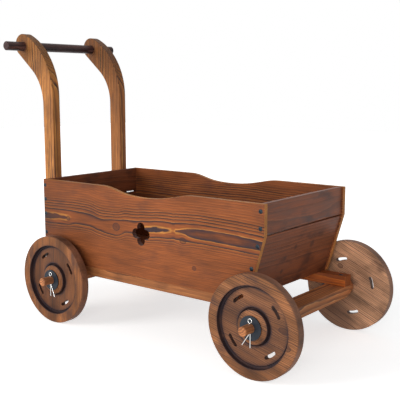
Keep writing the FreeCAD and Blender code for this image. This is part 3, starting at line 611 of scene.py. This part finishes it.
def screw_tree(sizes):
    """Round-headed screws with a cross recess: one at each point, along its outward vector."""
    tree, start, end = new_tree("screws", sizes)
    size = start.outputs
    radius = add(tree, "ShaderNodeMath", {0: size["Head Width"], 1: 0.5}, operation="MULTIPLY")
    ball = add(tree, "GeometryNodeMeshUVSphere", {"Segments": SCREW_SEGMENTS,
                                                 "Rings": SCREW_RINGS, "Radius": 1.0})
    squash = add(tree, "ShaderNodeCombineXYZ", {0: radius, 1: radius, 2: size["Dome"]})
    head = add(tree, "GeometryNodeTransform", {"Geometry": ball, "Scale": squash})
    deep = add(tree, "ShaderNodeMath", {0: size["Cross Depth"], 1: 2.0}, operation="MULTIPLY")
    top = add(tree, "ShaderNodeCombineXYZ", {2: size["Dome"]})
    cutters = []
    for turn in (0, 1):
        across = [size["Cross Span"], size["Cross Width"]]
        bar = add(tree, "ShaderNodeCombineXYZ", {turn: across[0], 1 - turn: across[1], 2: deep})
        block = add(tree, "GeometryNodeMeshCube", {"Size": bar})
        cutters.append(add(tree, "GeometryNodeTransform", {"Geometry": block, "Translation": top}))
    for cutter in cutters:
        head = add(tree, "GeometryNodeMeshBoolean", {"Mesh 1": head, "Mesh 2": cutter},
                   operation="DIFFERENCE", solver="EXACT")
    stem_radius = add(tree, "ShaderNodeMath", {0: size["Shank Width"], 1: 0.5},
                      operation="MULTIPLY")
    stem = add(tree, "GeometryNodeMeshCylinder", {"Vertices": WIRE_SIDES, "Depth": 1.0,
                                                  "Radius": stem_radius})
    stem = add(tree, "GeometryNodeTransform", {"Geometry": stem, "Translation": (0, 0, -0.5)})
    outward = add(tree, "GeometryNodeInputNamedAttribute", {"Name": "outward"},
                  data_type="FLOAT_VECTOR")
    aim = add(tree, "FunctionNodeAlignRotationToVector", {"Vector": outward}, axis="Z")
    reach = add(tree, "GeometryNodeInputNamedAttribute", {"Name": "reach"}, data_type="FLOAT")
    stretch = add(tree, "ShaderNodeCombineXYZ", {0: 1.0, 1: 1.0, 2: reach})
    heads = add(tree, "GeometryNodeInstanceOnPoints", {"Points": size["Geometry"], "Instance": head,
                                                       "Rotation": aim})
    stems = add(tree, "GeometryNodeInstanceOnPoints", {"Points": size["Geometry"], "Instance": stem,
                                                       "Rotation": aim, "Scale": stretch})
    both = tree.nodes.new("GeometryNodeJoinGeometry")
    for part in (stems, heads):
        tree.links.new(part.outputs[0], both.inputs[0])
    finish_tree(tree, start, end, both)
    return tree


def solids(name):
    """Vertices of each separate solid of a CAD node."""
    mesh = bmesh.new()
    mesh.from_mesh(nodes[name].data)
    bmesh.ops.remove_doubles(mesh, verts=mesh.verts, dist=SAME_PLACE * MM)
    left = set(mesh.verts)
    groups = []
    while left:
        group, edge = set(), {left.pop()}
        while edge:
            vertex = edge.pop()
            group.add(vertex)
            near = {link.other_vert(vertex) for link in vertex.link_edges}
            edge |= near & left
            left -= near
        groups.append([vertex.co.copy() for vertex in group])
    mesh.free()
    return groups


def screws(material):
    """All the cart's screws, each in the place of its CAD screw."""
    lean = math.radians(HOOK_SCREW_ANGLE)
    aims = {"panel_screws_near": (0, -1, 0), "panel_screws_far": (0, 1, 0),
            "post_screws": (-1, 0, 0), "rail_screws": (0, 0, 1), "floor_screws": (0, 0, 1),
            "hook_screws": (math.cos(lean), 0, math.sin(lean))}
    places, outwards, reaches = [], [], []
    for name, aim in aims.items():
        aim = Vector(aim)
        for points in solids(name):
            heights = [point.dot(aim) for point in points]
            rim = max(heights)
            # the head's rim runs right round the screw's axis
            round_rim = [p for p, h in zip(points, heights) if h > rim - RIM_DEPTH * MM]
            flat = [p - aim * p.dot(aim) for p in round_rim]
            low = Vector([min(p[i] for p in flat) for i in range(3)])
            high = Vector([max(p[i] for p in flat) for i in range(3)])
            places.append((low + high) / 2 + aim * rim)
            outwards.append(aim)
            reaches.append(rim - min(heights))
    mesh = bpy.data.meshes.new("screw_places")
    mesh.from_pydata(places, [], [])
    mesh.attributes.new("outward", "FLOAT_VECTOR", "POINT")
    mesh.attributes.new("reach", "FLOAT", "POINT")
    for i, aim in enumerate(outwards):
        mesh.attributes["outward"].data[i].vector = aim
        mesh.attributes["reach"].data[i].value = reaches[i]
    sizes = {"Head Width": SCREW_HEAD_WIDTH, "Dome": SCREW_DOME, "Cross Width": CROSS_WIDTH,
             "Cross Span": CROSS_SPAN, "Cross Depth": CROSS_DEPTH, "Shank Width": SCREW_SHANK}
    piece = grow("round_head_screws", mesh, screw_tree(sizes), sizes, material,
                 SCREW_SMOOTH)
    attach(piece, "cart")
    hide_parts(*aims)


def pin_tree(sizes):
    """Wire swept along a line, with closed ends."""
    tree, start, end = new_tree("split_pin_wire", sizes)
    line = add(tree, "GeometryNodeMeshToCurve", {"Mesh": start.outputs["Geometry"]})
    radius = add(tree, "ShaderNodeMath", {0: start.outputs["Wire"], 1: 0.5}, operation="MULTIPLY")
    section = add(tree, "GeometryNodeCurvePrimitiveCircle", {"Resolution": WIRE_SIDES,
                                                               "Radius": radius})
    wire = add(tree, "GeometryNodeCurveToMesh", {"Curve": line, "Profile Curve": section,
                                                 "Fill Caps": True})
    finish_tree(tree, start, end, wire)
    return tree


def pin_line(bend, drop):
    """Middle line of a split pin in mm, round its spindle's axis: (x, z) from end to end.

    One leg hangs straight down to drop below the axis, and the other bends bend degrees from
    straight down towards the front in a short curve.
    """
    way = math.copysign(1, bend)
    side = way * (PIN_WIRE + PIN_GAP) / 2
    eye_z = SPINDLE_RADIUS + PIN_WIRE / 2 + PIN_EYE_RADIUS
    bend_z = -SPINDLE_RADIUS - PIN_BEND_DROP
    line = [(-side, -drop), (-side, bend_z)]
    start = math.asin(way * side / PIN_EYE_RADIUS)
    for i in range(EYE_STEPS + 1):
        turn = start + (2 * math.pi - 2 * start) * i / EYE_STEPS
        line.append((-way * math.sin(turn) * PIN_EYE_RADIUS,
                     eye_z - math.cos(turn) * PIN_EYE_RADIUS))
    line.append((side, bend_z + PIN_CURVE_LENGTH / 2))
    x, z = line[-1]
    step = PIN_CURVE_LENGTH / CURVE_STEPS
    for i in range(CURVE_STEPS):
        angle = math.radians(bend) * (i + 0.5) / CURVE_STEPS
        x, z = x + math.sin(angle) * step, z - math.cos(angle) * step
        line.append((x, z))
    angle = math.radians(bend)
    rest = PIN_BENT_LENGTH - PIN_CURVE_LENGTH / 2
    line.append((x + math.sin(angle) * rest, z - math.cos(angle) * rest))
    return line


def split_pins(material):
    """Bent split pins, each in the place of its CAD pin, on its axle."""
    sizes = {"Wire": PIN_WIRE}
    tree = pin_tree(sizes)
    for corner, bend in PIN_BEND.items():
        node = "split_pin_" + corner
        low, high = corners(node)
        axle = middle("washer_" + corner)
        drop = (axle.z - low.z) / MM - (0.0 if abs(bend) > PIN_WIDE_BEND else PIN_SHORTER)
        line = pin_line(bend, drop)
        places = [(axle.x + x * MM, (low.y + high.y) / 2, axle.z + z * MM) for x, z in line]
        mesh = bpy.data.meshes.new(node + "_line")
        mesh.from_pydata(places, [(i, i + 1) for i in range(len(places) - 1)], [])
        piece = grow("bent_" + node, mesh, tree, sizes, material, PIN_SMOOTH)
        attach(piece, "cart")
        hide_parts(node)


def fittings():
    """Washers, screws and split pins."""
    black = metal("blackened_steel", "#252C35", 0.5, 0.5, 0.3)
    for name in nodes:
        if name.startswith("washer"):
            wear(name, black)
    screws(metal("black_phosphate_steel", "#1E2A33", 0.6, 0.4, 0.3))
    split_pins(metal("zinc_plated_steel", "#D8D8D6", 1.0, 0.25, 0.1))


# ---------------------------------------------------------------- stage
def lamp(name, place, size, power):
    """Square area lamp aimed at the cart."""
    data = bpy.data.lights.new(name, "AREA")
    data.size = size
    data.energy = power
    thing = bpy.data.objects.new(name, data)
    thing.location = place
    thing.rotation_euler = (Vector(TARGET) - Vector(place)).to_track_quat("-Z", "Y").to_euler()
    bpy.context.scene.collection.objects.link(thing)


def background_rays(tree):
    """1 for the rays that see the background: from the camera, off gloss and through glass."""
    path = add(tree, "ShaderNodeLightPath")
    seen = add(tree, "ShaderNodeMath", {0: path.outputs["Is Camera Ray"],
                                        1: path.outputs["Is Glossy Ray"]}, operation="MAXIMUM")
    return add(tree, "ShaderNodeMath", {0: seen, 1: path.outputs["Is Transmission Ray"]},
               operation="MAXIMUM")


def sky():
    """Soft even light, seen as white behind the cart."""
    world = bpy.data.worlds.new("soft_sky")
    bpy.context.scene.world = world
    world.use_nodes = True
    tree = world.node_tree
    lit = tree.nodes["Background"]
    lit.inputs["Color"].default_value = linear(SKY)
    lit.inputs["Strength"].default_value = SKY_STRENGTH
    white = add(tree, "ShaderNodeBackground", {"Color": (1, 1, 1, 1), "Strength": 1.0})
    mix = add(tree, "ShaderNodeMixShader", {0: background_rays(tree), 1: lit, 2: white})
    tree.links.new(mix.outputs[0], tree.nodes["World Output"].inputs["Surface"])


def floor():
    """Pale floor that fades to white away from the cart and keeps the cart's soft shadow."""
    half = FLOOR_WIDTH / 2
    mesh = bpy.data.meshes.new("floor")
    mesh.from_pydata([(-half, -half, 0), (half, -half, 0), (half, half, 0), (-half, half, 0)], [],
                     [(0, 1, 2, 3)])
    thing = bpy.data.objects.new("floor", mesh)
    bpy.context.scene.collection.objects.link(thing)
    material, tree, shader = new_material("pale_floor")
    shader.inputs["Base Color"].default_value = linear(FLOOR_COLOUR)
    shader.inputs["Roughness"].default_value = 0.9
    coords = add(tree, "ShaderNodeTexCoord")
    away = add(tree, "ShaderNodeVectorMath", {0: coords.outputs["Object"]}, operation="LENGTH")
    glow = add(tree, "ShaderNodeMapRange", {0: away.outputs["Value"], 1: FLOOR_FADE[0],
                                            2: FLOOR_FADE[1], 3: FLOOR_GLOW, 4: 1.0})
    seen = add(tree, "ShaderNodeMath", {0: glow, 1: background_rays(tree)}, operation="MULTIPLY")
    shader.inputs["Emission Color"].default_value = (1, 1, 1, 1)
    tree.links.new(seen.outputs[0], shader.inputs["Emission Strength"])
    mesh.materials.append(material)


def camera():
    """The photograph's camera."""
    data = bpy.data.cameras.new("camera")
    data.lens = LENS
    data.sensor_width = SENSOR
    data.shift_x, data.shift_y = LENS_SHIFT
    thing = bpy.data.objects.new("camera", data)
    thing.location = CAMERA_PLACE
    thing.rotation_euler = Euler([math.radians(angle) for angle in CAMERA_TURN])
    bpy.context.scene.collection.objects.link(thing)
    bpy.context.scene.camera = thing


panel_wood()
board_wood()
frame_wood()
wheel_wood()
fittings()
sky()
floor()
for name, (place, size, power) in LAMPS.items():
    lamp(name, place, size, power)
camera()
bpy.context.scene.view_settings.view_transform = "Standard"
